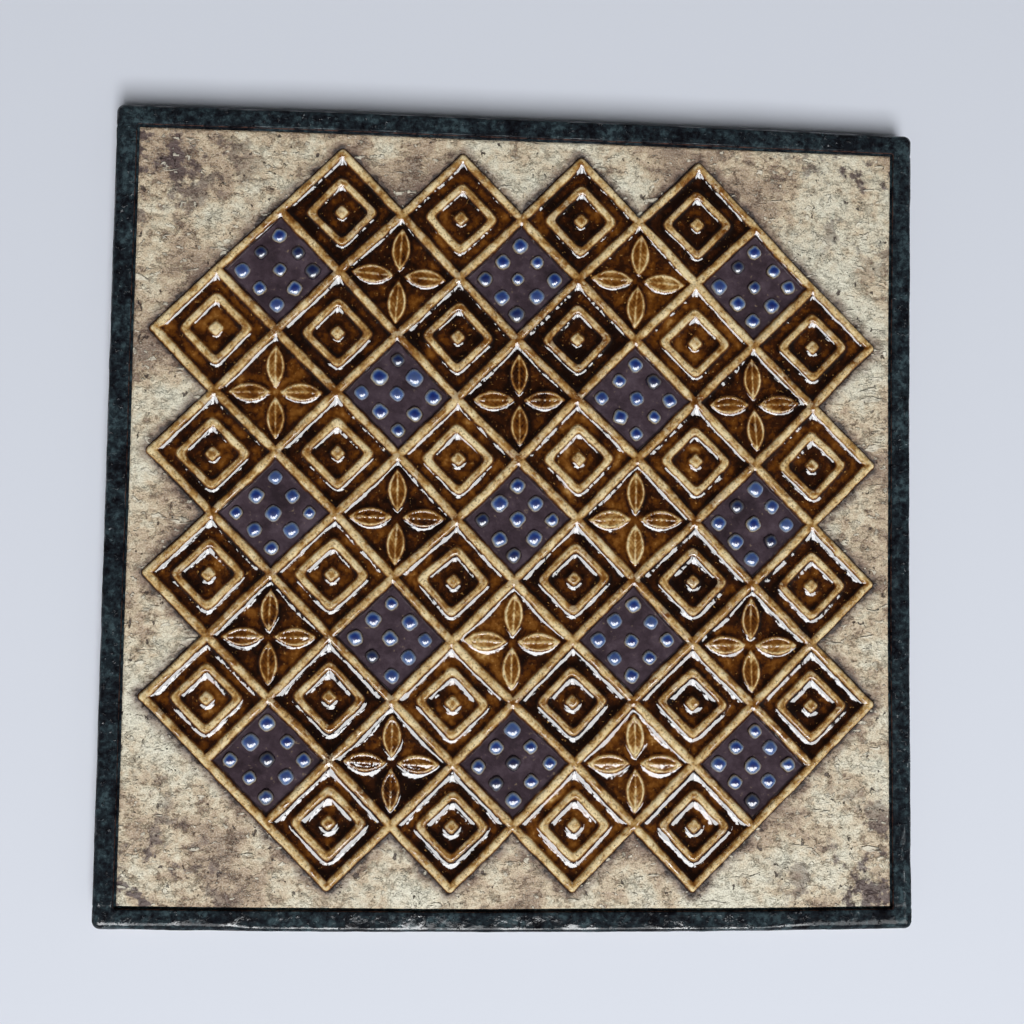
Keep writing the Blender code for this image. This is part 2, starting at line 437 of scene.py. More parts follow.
def glaze_over(clay, line):
    """The glaze's surface and slopes, its thickness and the clay's rise, both from 0 to 1."""
    height = clay["height"]
    uneven = rough(line, line, 4.5 * MM, 37)
    runs = 0.81 + 0.26 * uneven
    beads = rough(line, line, 0.9 * MM, 43, 2)
    above = np.maximum(height, 0)
    soft = blurred(height, 0.30 * MM)
    wide = blurred(above, 1.15 * MM)
    trough = blurred(above, 1.45 * MM)
    proud = (above - wide) / (0.5 * MM)
    rise = np.clip((above - FLOOR_HEIGHT) / (1.2 * MM), 0, 1)
    pooled = np.maximum(trough + POOL_DEPTH - np.maximum(soft, 0), 0) * (1 - clay["slate"])
    surface = soft + (runs * pooled + 0.010 * MM * beads) * clay["inside"]
    slope_u, slope_v = np.gradient(surface, FINE)
    # Thick on the floors, and thin where the clay stands proud of what is round it
    thick = 0.385 + 0.20 * (1 - rise) + 0.10 * beads + 0.17 * uneven
    thin = 0.23 * proud + 0.06 * smooth(rise, 0.3, 0.75)
    return {
        "surface": surface,
        "glaze": np.clip(thick - thin, 0, 1),
        "rise": rise,
        "slope_u": slope_u,
        "slope_v": slope_v,
    }


def mesh_lines():
    """Places of the relief's mesh lines along a diagonal, closer together at ribs and ridges."""
    within = np.linspace(-0.5, 0.5, 2001) * PITCH
    near_rib = PITCH / 2 - abs(within) < RIB_WIDTH / 2 + 2 * RIB_SLOPE
    near_ridge = abs(abs(within) - RIDGE_HALF) < RIDGE_TOP / 2 + 1.5 * RISE_SLOPE
    total = np.cumsum(1 + 0.6 * near_rib + 0.25 * near_ridge)
    shares = (total - total[0]) / (total[-1] - total[0])
    pattern = np.interp(np.linspace(0, 1, LINES_ACROSS + 1), shares, within)
    lines = [m * PITCH + pattern[:-1] for m in range(-MOST_ALONG, MOST_ALONG + 1)]
    end = (MOST_ALONG + 0.5) * PITCH
    skirt = end + np.linspace(0, SKIRT + RIB_SLOPE, 12)
    return np.concatenate([-skirt[:0:-1], *lines, skirt])


def outline_loops(mask):
    """Closed loops of (row, column) grid points round the marked quads, anticlockwise outside."""
    padded = np.pad(mask, 1)
    following = {}
    # Each side of a quad: the way to the quad beside it, and where the side starts and ends
    sides = (
        ((-1, 0), (0, 1), (0, 0)),
        ((0, 1), (1, 1), (0, 1)),
        ((1, 0), (1, 0), (1, 1)),
        ((0, -1), (0, 0), (1, 0)),
    )
    for (dr, dc), start, end in sides:
        beside = np.roll(padded, (-dr, -dc), (0, 1))
        rows, columns = np.nonzero(padded & ~beside)
        for r, c in zip((rows - 1).tolist(), (columns - 1).tolist()):
            options = following.setdefault((r + start[0], c + start[1]), [])
            options.append((r + end[0], c + end[1]))
    loops = []
    while following:
        first = next(iter(following))
        loop = [first]
        while True:
            options = following[loop[-1]]
            step = options.pop()
            if not options:
                del following[loop[-1]]
            if step == first:
                break
            loop.append(step)
        loops.append(loop)
    return loops


def add_object(name, data):
    thing = bpy.data.objects.new(name, data)
    bpy.context.scene.collection.objects.link(thing)
    return thing


def add_piece(name, vertices, faces, material, attributes=None, normals=None, smooth_count=None):
    """A piece of the plaque. The first smooth_count faces take their vertices' given normals."""
    mesh = bpy.data.meshes.new(name)
    mesh.from_pydata(vertices, [], faces)
    for label, values in (attributes or {}).items():
        layer = mesh.attributes.new(label, "FLOAT", "POINT")
        layer.data.foreach_set("value", np.asarray(values, np.float32))
    count = len(mesh.polygons) if smooth_count is None else smooth_count
    marks = np.zeros(len(mesh.polygons), bool)
    marks[:count] = True
    mesh.polygons.foreach_set("use_smooth", marks)
    if normals is not None:
        corners = np.empty(len(mesh.loops), np.int32)
        mesh.loops.foreach_get("vertex_index", corners)
        given = normals[corners]
        smooth_corners = sum(len(face) for face in faces[:count])
        given[smooth_corners:] = 0
        mesh.normals_split_custom_set(given.tolist())
    mesh.materials.append(material)
    piece = add_object(name, mesh)
    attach(piece, "root")
    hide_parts("plaque")
    return piece


def closed_patch(mask, tops, low_z):
    """Vertices and faces of a closed block: marked quads of a grid, walls down to low_z and a base.

    tops holds the grid's points. An inner loop is capped at its own height. Returns the
    vertices, the faces, how many faces are on top, and which grid points are in use."""
    quad_corners = ((0, 0), (1, 0), (1, 1), (0, 1))
    used = np.zeros(tops.shape[:2], bool)
    for dr, dc in quad_corners:
        used[dr : dr + mask.shape[0], dc : dc + mask.shape[1]] |= mask
    number = np.full(used.shape, -1)
    number[used] = np.arange(used.sum())
    rows, columns = np.nonzero(mask)
    faces = np.stack([number[rows + dr, columns + dc] for dr, dc in quad_corners], 1).tolist()
    vertices = tops[used]
    top_count = len(faces)
    lows = []
    for loop in outline_loops(mask):
        ring = [int(number[place]) for place in loop]
        plan = vertices[ring][:, :2]
        following = np.roll(plan, -1, 0)
        twice_area = (plan[:, 0] * following[:, 1] - plan[:, 1] * following[:, 0]).sum()
        if twice_area < 0:
            faces.append(ring[::-1])
            continue
        first = len(vertices) + sum(len(low) for low in lows)
        lows.append(np.column_stack([plan, np.full(len(ring), low_z)]))
        for i in range(len(ring)):
            j = (i + 1) % len(ring)
            faces.append([ring[j], ring[i], first + i, first + j])
        faces.append([first + i for i in range(len(ring))][::-1])
    return np.concatenate([vertices, *lows]), faces, top_count, used


def pad_rows(values, count, fill=0.0):
    """Values for the top's vertices, then a fill for the walls' ones."""
    shape = (count - len(values),) + values.shape[1:]
    return np.concatenate([values, np.full(shape, fill)])


def make_relief(material):
    """The lattice in four bands, each a closed block under one glaze."""
    line = fine_lines()
    clay = clay_relief(line)
    glaze = glaze_over(clay, line)
    lines = mesh_lines()
    spots = (lines - line[0]) / FINE
    attributes = ("glaze", "slate", "tone", "rise")
    fields = {"slate": clay["slate"], "tone": clay["tone"], **glaze}
    picked = {name: between(between(field, spots, 0), spots, 1) for name, field in fields.items()}
    u, v = np.meshgrid(lines, lines, indexing="ij")
    x, y = hand_cut(*from_diagonals(u, v))
    tops = np.stack([x, y, FIELD_Z + picked["surface"]], 2)
    slope_x, slope_y = from_diagonals(picked["slope_u"], picked["slope_v"])
    normals = np.stack([-slope_x, -slope_y, np.ones_like(u)], 2)
    normals /= np.linalg.norm(normals, axis=2, keepdims=True)
    middles = (lines[1:] + lines[:-1]) / 2
    middle_u, middle_v = np.meshgrid(middles, middles, indexing="ij")
    distance, inside = rib_distance(middle_u, middle_v)
    shown = inside | (distance < SKIRT)
    row = np.clip(np.rint(middle_v / PITCH), -MOST_ALONG, MOST_ALONG)
    for number, (lowest, highest) in enumerate(BAND_ROWS, 1):
        mask = shown & (row >= lowest) & (row <= highest)
        vertices, faces, top_count, used = closed_patch(mask, tops, FIELD_Z + SKIRT_BOTTOM)
        count = len(vertices)
        looks = {name: pad_rows(picked[name][used], count) for name in attributes}
        shading = pad_rows(normals[used], count)
        name = f"relief_band_{number}"
        add_piece(name, vertices, faces, material, looks, shading, top_count)


def make_studs(material):
    """Small rounded lozenges of glossy glaze on the slate floors, as one piece of many domes."""
    angles = np.arange(STUD_SIDES) * math.tau / STUD_SIDES
    reach = 1 / squarish(np.cos(angles), np.sin(angles), STUD_SQUARENESS)
    vertices, faces, tones, insets = [], [], [], []
    rng = np.random.default_rng(59)
    for u0, v0, turn, size, tone in stud_places():
        tall = STUD_HEIGHT * rng.normal(1.0, STUD_GROWTH)
        skew = rng.normal(0, 0.02, 2)
        lobes = 1 + 0.02 * np.sin(3 * angles + 9 * tone)
        first = len(vertices)
        for ring in range(STUD_RINGS + 1):
            part = math.sin(math.pi / 2 * ring / STUD_RINGS)
            lift = tall * (1 - part**STUD_DOMING) ** 0.5
            is_foot = ring == STUD_RINGS
            low = FLOOR_HEIGHT - STUD_SINK * is_foot
            for k in range(STUD_SIDES if ring else 1):
                radius = STUD_HALF * size * part * reach[k] * lobes[k]
                a = radius * math.cos(angles[k] + turn)
                b = radius * math.sin(angles[k] + turn)
                z = low + lift + (a * skew[0] + b * skew[1]) * (not is_foot)
                x, y = hand_cut(*from_diagonals(u0 + a, v0 + b))
                vertices.append((x, y, FIELD_Z + z))
                tones.append(tone)
                insets.append(part)
        starts = [first + 1 + STUD_SIDES * k for k in range(STUD_RINGS)]
        for k in range(STUD_SIDES):
            j = (k + 1) % STUD_SIDES
            faces.append((first, starts[0] + k, starts[0] + j))
            for upper, lower in zip(starts, starts[1:]):
                faces.append((upper + k, lower + k, lower + j, upper + j))
        faces.append([starts[-1] + k for k in range(STUD_SIDES)][::-1])
    looks = {"tone": tones, "inset": insets}
    add_piece("studs", vertices, faces, material, looks)


def field_lines():
    """Places of the field's mesh lines, with a few more at its rounded edge."""
    edge = FIELD_HALF - np.array([0.0, 0.12, 0.3, 0.55]) * MM
    inner = FIELD_HALF - 0.95 * MM
    count = int(2 * inner / FIELD_SPACING)
    return np.concatenate([-edge, np.linspace(-inner, inner, count), edge[::-1]])


def make_field(material):
    """The cream field round the relief, as a closed plate with rounded edges."""
    lines = field_lines()
    true_x, true_y = np.meshgrid(lines, lines, indexing="ij")
    distance, inside = rib_distance(*to_diagonals(true_x, true_y))
    gaps = [FIELD_HALF - abs(places) for places in (true_x, true_y)]
    from_edge = np.minimum(*gaps)
    from_corner = np.hypot(*gaps)
    waves = WAVES * rough(lines, lines, 34 * MM, 71) + RIPPLES * rough(lines, lines, 5 * MM, 73)
    dents = DENT_DEPTH * smooth(rough(lines, lines, 2.6 * MM, 79, 2), 0.62, 0.85)
    rounded_off = FIELD_ROUNDING * (1 - smooth(from_edge, 0, 0.6 * MM))
    height = (waves - dents) * smooth(from_edge, 0, 3 * MM) - rounded_off
    middles = (lines[1:] + lines[:-1]) / 2
    around, within = rib_distance(*to_diagonals(*np.meshgrid(middles, middles, indexing="ij")))
    mask = ~within & (around > FIELD_UNDER)
    buried = inside | (distance < FIELD_UNDER + 2 * FIELD_SPACING)
    height = np.where(buried, -FIELD_SUNK, height)
    x, y = hand_cut(true_x, true_y)
    tops = np.stack([x, y, FIELD_Z + height], 2)
    low_z = FIELD_Z - GROOVE_DEPTH - 0.3 * MM
    vertices, faces, top_count, used = closed_patch(mask, tops, low_z)
    looks = {
        # Distance from the nearest rib's middle, which places the brown tint and the painted shade
        # round the relief
        "tint_and_shade_halo": pad_rows(distance[used] / CM, len(vertices), 1.0),
        "corner": pad_rows(from_corner[used] / CM, len(vertices)),
    }
    add_piece("cream_field", vertices, faces, material, looks, smooth_count=top_count)


def corner_arcs():
    """(angle at its start, angles of its points) of each rounded corner, anticlockwise."""
    for quarter in range(4):
        start = math.pi / 2 * quarter
        yield start, [start + math.pi / 2 * step / CORNER_STEPS for step in range(CORNER_STEPS + 1)]


def plan_path(inset):
    """Plan points, anticlockwise, of the outline moved inwards, as many for any inset."""
    radius = max(CORNER_RADIUS - inset, LEAST_RADIUS)
    reach = HALF - inset - radius
    points = []
    for start, arc in corner_arcs():
        turn = Matrix.Rotation(start, 2)
        centre = turn @ Vector((reach, reach))
        points += [(centre.x + radius * math.cos(a), centre.y + radius * math.sin(a)) for a in arc]
        side_start = turn @ Vector((reach, reach + radius))
        side_end = turn @ Vector((-reach, reach + radius))
        shares = [step / SIDE_STEPS for step in range(1, SIDE_STEPS)]
        points += [tuple(side_start.lerp(side_end, share)) for share in shares]
    return np.array(points)


def plan_facing():
    """The way out of the plan at each point of plan_path."""
    ways = []
    for _, arc in corner_arcs():
        facing = [(math.cos(a), math.sin(a), 0.0) for a in arc]
        ways += facing + [facing[-1]] * (SIDE_STEPS - 1)
    return np.array(ways)


def sweep(section):
    """Rings of points for each (inset, height) of a section, before hand cutting."""
    rings = []
    for inset, z in section:
        path = plan_path(inset)
        rings.append(np.column_stack([path, np.full(len(path), z)]))
    return np.stack(rings)


def rough_at(x, y, size, seed, octaves=3):
    """Like rough, but at scattered points."""
    total = np.zeros(x.shape)
    for k in range(octaves):
        step = size / 2**k
        rng = np.random.default_rng(seed + k)
        places = [(axis + 1.2 * HALF) / step for axis in (x, y)]
        whole = [np.floor(place).astype(int) for place in places]
        part_x, part_y = (smooth(place - low, 0, 1) for place, low in zip(places, whole))
        table = rng.uniform(-1, 1, (int(2.4 * HALF / step) + 3,) * 2)
        i, j = whole
        near = table[i, j] * (1 - part_y) + table[i, j + 1] * part_y
        far = table[i + 1, j] * (1 - part_y) + table[i + 1, j + 1] * part_y
        total += (near * (1 - part_x) + far * part_x) / 2**k
    return total / (2 - 0.5 ** (octaves - 1))


def ring_faces(rings, around, closed):
    """Quads between neighbouring rings; the last ring meets the first one if closed."""
    a = np.arange(around)
    b = (a + 1) % around
    faces = []
    for ring in range(rings if closed else rings - 1):
        low = ring * around
        high = (ring + 1) % rings * around
        faces += np.stack([low + a, low + b, high + b, high + a], 1).tolist()
    return faces


def border_section():
    """(inset, height, thinness of the glaze) round the border's glaze, from its lower lip."""
    lip = ((0.35, -0.1, 0.6), (0.05, 0.25, 0.25), (0.0, 0.9, 0.0))
    points = [(inset * MM, FOOT_TOP + rise * MM, thin) for inset, rise, thin in lip]
    side = np.linspace(FOOT_TOP + 1.7 * MM, BORDER_Z - EDGE_RADIUS, 13)
    points += [(0.0, z, 0.0) for z in side]
    flat = np.linspace(MOST_REACH, BORDER_WIDTH - INNER_ROUNDING, 4)
    points += [(inset, BORDER_Z, 0.0) for inset in (*FALL_INSETS, *flat)]
    for step in range(1, 5):
        angle = math.pi / 2 * step / 5
        inset = BORDER_WIDTH - INNER_ROUNDING * (1 - math.sin(angle))
        z = BORDER_Z - INNER_ROUNDING * (1 - math.cos(angle))
        points.append((inset, z, math.sin(angle)))
    middle = BORDER_WIDTH + GROOVE_WIDTH / 2
    beyond = BORDER_WIDTH + 2 * GROOVE_WIDTH
    within = 1.5 * MM
    floor_z = FIELD_Z - GROOVE_DEPTH
    points.append((BORDER_WIDTH + 0.05 * MM, FIELD_Z - 0.5 * MM, 0.6))
    for inset in (middle - GROOVE_FLOOR / 2, middle + GROOVE_FLOOR, beyond):
        points.append((inset, floor_z, 0.3))
    points.append((beyond, floor_z - 0.8 * MM, 0.3))
    points += [(within, z, 0.3) for z in (floor_z - 2 * MM, FOOT_TOP + 1 * MM)]
    return points


def make_border(material):
    """The dark glaze over the border, the sides and the groove: one closed ring."""
    section = border_section()
    inset, _, thin = (np.array(values)[:, None] for values in zip(*section))
    rings = sweep([(inset, z) for inset, z, _ in section])
    around = rings.shape[1]
    x, y, z = rings[..., 0], rings[..., 1], rings[..., 2]
    from_corner = HALF - np.minimum(abs(x), abs(y))
    near_corner = 1 - smooth(from_corner, *CORNER_SOFTNESS)
    rounded = smooth(0.5 * rough_at(x, y, 42 * MM, 113) + 0.85 * near_corner, 0.4, 0.9)
    reach = LEAST_REACH + (MOST_REACH - LEAST_REACH) * rounded
    fallen = 1 - (1 - np.clip(1 - inset / reach, 0, 1) ** (2 + rounded)) ** 0.5
    z = np.where(z > BORDER_Z - 0.01 * MM, z - EDGE_RADIUS * fallen, z)
    rings[..., 2] = z
    at_edge = 1 - (1 - CALM_SHARE) * smooth(inset, *SWELL_FADE)
    swell = SWELL * at_edge * rough_at(x + 0.7 * z, y - 0.7 * z, 9 * MM, 101)
    swell[-BURIED_RINGS:] = 0
    flatness = smooth(z, BORDER_Z - EDGE_RADIUS, BORDER_Z)[..., None]
    push = plan_facing() * (1 - flatness) + np.array([0, 0, 1.0]) * flatness
    seam_y = HALF - BORDER_WIDTH - 0.3 * MM
    on_sides = smooth(abs(x), HALF - BORDER_WIDTH, HALF - BORDER_WIDTH + 1 * MM)
    seams = np.exp(-(((abs(y) - seam_y) / SEAM_WIDTH) ** 2)) * on_sides
    rings = rings + push * (swell - SEAM_DEPTH * seams)[..., None]
    low = len(LIP_SHARES)
    rings[:low, :, 2] += LIP_SHARES * LIP_SWING * rough_at(x[:low], y[:low], 19 * MM, 107)
    rings[..., 0], rings[..., 1] = hand_cut(rings[..., 0], rings[..., 1])
    lit = 0.35 + 0.65 * smooth(z, BORDER_Z - 0.9 * EDGE_RADIUS, BORDER_Z - 0.3 * EDGE_RADIUS)
    looks = {"thin": np.repeat(thin, around), "lit": lit.ravel()}
    faces = ring_faces(len(section), around, closed=True)
    add_piece("border_glaze", rings.reshape(-1, 3), faces, material, looks)


def make_body(material):
    """The bare clay slab under the glaze, seen at its foot and on its back."""
    skin = 0.3 * MM
    within = 2 * MM
    top_z = FIELD_Z - GROOVE_DEPTH - 0.25 * MM
    section = [(skin + BACK_CHAMFER, 0.0)]
    for step in range(1, 5):
        angle = math.pi / 2 * step / 4
        inset = skin + BACK_CHAMFER * (1 - math.sin(angle))
        section.append((inset, BACK_CHAMFER * (1 - math.cos(angle))))
    section += [(skin, z * MM) for z in (2.0, 3.2, 5.0)]
    section += [(within, 6 * MM), (within, top_z)]
    rings = sweep(section)
    around = rings.shape[1]
    rings[..., 0], rings[..., 1] = hand_cut(rings[..., 0], rings[..., 1])
    faces = ring_faces(len(section), around, closed=False)
    side_count = len(faces)
    faces.append(list(range(around))[::-1])
    faces.append([(len(section) - 1) * around + k for k in range(around)])
    vertices = rings.reshape(-1, 3)
    add_piece("clay_body", vertices, faces, material, smooth_count=side_count)


def linear(colour):
    """A colour as seen, with its three shares from 0 to 255, as the shader's numbers."""
    shares = [share / 255 for share in colour]
    bright = [s / 12.92 if s <= 0.04045 else ((s + 0.055) / 1.055) ** 2.4 for s in shares]
    return (*bright, 1.0)


class Nodes:
    """A tree of shader nodes, with short ways to add to it."""

    def __init__(self, tree):
        self.tree = tree
        self.coordinates = self.new("TexCoord").outputs
        self.place = self.coordinates["Object"]

    def new(self, kind):
        return self.tree.nodes.new("ShaderNode" + kind)

    def feed(self, socket, value):
        """Links a socket to another one, or sets it."""
        if isinstance(value, bpy.types.NodeSocket):
            self.tree.links.new(value, socket)
        else:
            socket.default_value = value

    def attribute(self, name):
        node = self.new("Attribute")
        node.attribute_name = name
        return node.outputs["Fac"]

    def place_with(self, operation, vector):
        """The outcome of an operation on the place and this vector."""
        node = self.new("VectorMath")
        node.operation = operation
        self.feed(node.inputs[0], self.place)
        node.inputs[1].default_value = vector
        return node.outputs

    def sloped(self, rises):
        """A value that is 0 in the middle and rises by this much to the +X side and the +Y side."""
        return self.place_with("DOT_PRODUCT", (rises[0] / HALF, rises[1] / HALF, 0))["Value"]

    def noise(self, size, detail=2.0, sharpness=0.5, distortion=0.0, stretch=None):
        """Noise from 0 to 1 with features of about this real size."""
        node = self.new("TexNoise")
        place = self.place_with("MULTIPLY", stretch)[0] if stretch else self.place
        self.feed(node.inputs["Vector"], place)
        node.inputs["Scale"].default_value = 0.5 / size
        node.inputs["Detail"].default_value = detail
        node.inputs["Roughness"].default_value = sharpness
        node.inputs["Distortion"].default_value = distortion
        return node.outputs["Fac"]

    def band(self, value, low, high, to_low=0.0, to_high=1.0):
        """An S-shaped rise as value goes from low to high."""
        node = self.new("MapRange")
        node.interpolation_type = "SMOOTHSTEP"
        self.feed(node.inputs["Value"], value)
        node.inputs["From Min"].default_value = low
        node.inputs["From Max"].default_value = high
        node.inputs["To Min"].default_value = to_low
        node.inputs["To Max"].default_value = to_high
        return node.outputs["Result"]

    def math(self, operation, first, second, clamp=False):
        node = self.new("Math")
        node.operation = operation
        node.use_clamp = clamp
        self.feed(node.inputs[0], first)
        self.feed(node.inputs[1], second)
        return node.outputs[0]

    def plus(self, first, second, clamp=False):
        return self.math("ADD", first, second, clamp)

    def minus(self, first, second):
        return self.math("SUBTRACT", first, second)

    def times(self, first, second):
        return self.math("MULTIPLY", first, second)

    def larger(self, first, second):
        return self.math("MAXIMUM", first, second)

    def swing(self, value, amount):
        """A value from 0 to 1 made to swing about 0, by this amount in all."""
        return self.times(self.minus(value, 0.5), amount)

    def ramp(self, value, stops):
        """Colours along a value, from (place, colour as seen) pairs in order."""
        node = self.new("ValToRGB")
        self.feed(node.inputs["Fac"], value)
        elements = node.color_ramp.elements
        for place, _ in stops[2:]:
            elements.new(place)
        for element, (place, colour) in zip(elements, stops):
            element.position = place
            element.color = linear(colour)
        return node.outputs["Color"]

    def mix(self, share, first, second):
        node = self.new("Mix")
        node.data_type = "RGBA"
        self.feed(node.inputs["Factor"], share)
        self.feed(node.inputs["A"], first)
        self.feed(node.inputs["B"], second)
        return node.outputs["Result"]

    def cover(self, base, share, colour):
        """The base colour with this share of another colour, as seen, over it."""
        return self.mix(share, base, linear(colour))

    def bump(self, height, depth, under=None):
        """A normal as if the surface rose by depth where height is 1, over another normal if given."""
        node = self.new("Bump")
        self.feed(node.inputs["Height"], height)
        node.inputs["Distance"].default_value = depth
        node.inputs["Strength"].default_value = 1.0
        if under is not None:
            self.feed(node.inputs["Normal"], under)
        return node.outputs["Normal"]


class Look(Nodes):
    """A material, with the nodes that drive it."""

    def __init__(self, name):
        self.material = bpy.data.materials.new(name)
        self.material.use_nodes = True
        super().__init__(self.material.node_tree)
        self.shader = self.tree.nodes["Principled BSDF"]

    def set(self, **values):
        """Sets or links the shader's inputs, whose names have _ for each space here."""
        for name, value in values.items():
            self.feed(self.shader.inputs[name.replace("_", " ")], value)


def relief_look():
    """Amber glaze, tan on the ribs and near black where it pools, and slate slip round the studs."""
    look = Look("relief_glaze")
    glaze = look.attribute("glaze")
    slate = look.attribute("slate")
    tone = look.attribute("tone")
    rise = look.attribute("rise")
    clouds = look.noise(7 * MM, 3, 0.6, 0.3)
    mottles = look.noise(2.2 * MM, 5, 0.68, 0.2)
    grain = look.noise(0.40 * MM, 3, 0.65)
    shift = look.plus(look.swing(clouds, 1.1), look.swing(mottles, 0.9))
    shift = look.plus(shift, look.times(tone, 0.13))
    shift = look.times(shift, look.band(glaze, 0.0, 0.5, 0.35, 1.0))
    depth = look.plus(glaze, shift, clamp=True)
    amber = look.ramp(depth, AMBER)
    speckle = look.times(look.band(grain, 0.52, 0.64), look.band(rise, 0.3, 0.9))
    amber = look.cover(amber, look.times(speckle, 0.7), (96, 62, 28))
    worn = look.band(look.noise(1.8 * MM, 5, 0.75), 0.52, 0.60)
    worn = look.times(worn, look.band(rise, 0.75, 1.0))
    amber = look.cover(amber, look.times(worn, 0.5), (236, 218, 178))
    motes = look.band(look.noise(0.8 * MM, 4, 0.75), 0.62, 0.70)
    motes = look.times(motes, look.band(rise, 0.5, 0.1))
    amber = look.cover(amber, look.times(motes, 0.7), (206, 156, 88))
    slip = look.ramp(look.plus(look.times(clouds, 0.5), look.times(mottles, 0.5)), SLIP)
    scuffs = look.band(look.noise(1.1 * MM, 4, 0.7, 0.3), 0.62, 0.70)
    slip = look.cover(slip, look.times(scuffs, 0.55), (150, 130, 106))
    look.set(Base_Color=look.mix(slate, amber, slip))
    thick = look.band(depth, 0.06, 0.34)
    glossy = look.times(look.minus(1.0, slate), look.band(thick, 0.0, 1.0, 0.07, 1.0))
    look.set(Roughness=look.band(mottles, 0.3, 0.7, 0.42, 0.6), Specular_IOR_Level=0.0)
    look.set(Coat_Weight=glossy, Coat_IOR=1.58, Coat_Roughness=0.06)
    ripples = look.bump(look.noise(2.2 * MM, 2, 0.5), 0.17 * MM)
    grit = look.times(grain, look.larger(slate, look.band(rise, 0.6, 1.0, 0.15, 0.6)))
    look.set(Normal=look.bump(grit, 0.22 * MM, ripples), Coat_Normal=ripples)
    return look.material


def stud_look():
    """Cobalt glaze, deep on the crown, thin and pale round it, with clay showing at the foot."""
    look = Look("cobalt_glaze")
    inset = look.attribute("inset")
    tone = look.attribute("tone")
    patchy = look.noise(1.4 * MM, 3, 0.6)
    place = look.plus(inset, look.swing(patchy, 0.5))
    place = look.plus(place, look.swing(tone, 0.2), clamp=True)
    colour = look.ramp(place, COBALT)
    pale = look.times(look.band(tone, 0.35, 0.05), 0.35)
    colour = look.cover(colour, pale, (104, 128, 170))
    deep = look.times(look.band(tone, 0.80, 0.9), 0.75)
    look.set(Base_Color=look.cover(colour, deep, (14, 14, 44)), Roughness=0.4)
    look.set(Specular_IOR_Level=0.2, Coat_Weight=1.0, Coat_IOR=1.6, Coat_Roughness=0.05)
    look.set(Normal=look.bump(look.noise(1.2 * MM, 2, 0.5), 0.08 * MM))
    return look.material


def field_look():
    """Cream glaze with a brown wash in its hollows, darker near the corners, browner round the relief
    and with painted shade at its foot.
    """
    look = Look("cream_glaze")
    # Distances in centimetres, from the nearest rib's middle and the nearest corner
    tint_and_shade_halo = look.attribute("tint_and_shade_halo")
    near_corner = look.band(look.attribute("corner"), 6.5, 1.5)
    clouds = look.noise(22 * MM, 3, 0.5)
    patches = look.noise(6 * MM, 5, 0.62, 0.1)
    hollows = look.noise(1.9 * MM, 6, 0.68)
    grain = look.noise(0.28 * MM, 3, 0.6)
    wash = look.plus(look.times(clouds, 0.42), look.times(patches, 0.36))
    wash = look.plus(wash, look.times(hollows, 0.22))
    wash = look.plus(wash, look.times(near_corner, 0.022))
    # The wash also grows browner towards the left and the top.
    wash = look.plus(look.minus(wash, 0.026), look.sloped((-0.018, 0.014)))
    cream = look.ramp(wash, CREAM)
    stains = look.band(look.noise(2.6 * MM, 7, 0.76), 0.545, 0.60)
    stained = look.times(stains, look.band(wash, 0.44, 0.55, 0.06, 0.85))
    cream = look.cover(cream, stained, (128, 98, 76))
    strokes = look.band(look.noise(1.0 * MM, 5, 0.72, 0.4, (0.45, 1.0, 1.0)), 0.56, 0.60)
    scratched = look.band(hollows, 0.44, 0.56, 0.0, 0.65)
    scratched = look.times(scratched, look.band(wash, 0.45, 0.54, 0.2, 1.0))
    cream = look.cover(cream, look.times(strokes, scratched), (104, 76, 56))
    cream = look.cover(cream, look.band(grain, 0.50, 0.64, 0.0, 0.38), (112, 86, 60))
    cream = look.cover(cream, look.band(grain, 0.50, 0.38, 0.0, 0.25), (250, 246, 228))
    upper_left = look.band(look.sloped((-0.5, 0.5)), 0.74, 0.92)
    blots = look.plus(look.noise(5.5 * MM, 5, 0.66, 0.1), look.times(upper_left, 0.05))
    blots = look.times(look.band(blots, 0.53, 0.61), look.times(near_corner, 0.9))
    cream = look.cover(cream, blots, (76, 53, 54))
    # A brown tint round the relief, then painted shade, near black, at the foot of its ribs.
    ragged = look.plus(tint_and_shade_halo, look.swing(look.noise(3.5 * MM, 5, 0.66, 0.2), 0.8))
    cream = look.cover(cream, look.band(ragged, 0.66, 0.24, 0.0, 0.8), (112, 84, 68))
    cream = look.cover(cream, look.band(ragged, 0.34, 0.20, 0.0, 0.92), (36, 20, 16))
    small_pits = look.band(look.noise(1.3 * MM, 3, 0.55, 0.3, (1.0, 0.75, 1.0)), 0.665, 0.71)
    large_pits = look.band(look.noise(2.3 * MM, 4, 0.6, 0.2, (1.0, 0.7, 1.0)), 0.685, 0.73)
    pits = look.larger(small_pits, large_pits)
    cream = look.cover(cream, look.times(pits, 0.9), (58, 34, 24))
    scabs = look.band(look.noise(1.3 * MM, 3, 0.5, 0.3, (0.7, 1.0, 1.0)), 0.63, 0.67)
    streaks = look.band(look.noise(2.0 * MM, 3, 0.5, 0.3, (0.28, 1.0, 1.0)), 0.66, 0.71)
    flecks = look.larger(scabs, streaks)
    cream = look.cover(cream, look.times(flecks, 0.65), (250, 242, 220))
    look.set(Base_Color=cream, Roughness=look.band(wash, 0.42, 0.58, 0.42, 0.60), IOR=1.5)
    raised = look.minus(look.times(flecks, 1.2), look.times(pits, 1.3))
    raised = look.minus(raised, look.times(look.plus(stains, strokes), 0.35))
    raised = look.minus(raised, look.times(hollows, 1.8))
    raised = look.minus(raised, look.times(grain, 0.35))
    look.set(Normal=look.bump(raised, 0.6 * MM))
    return look.material


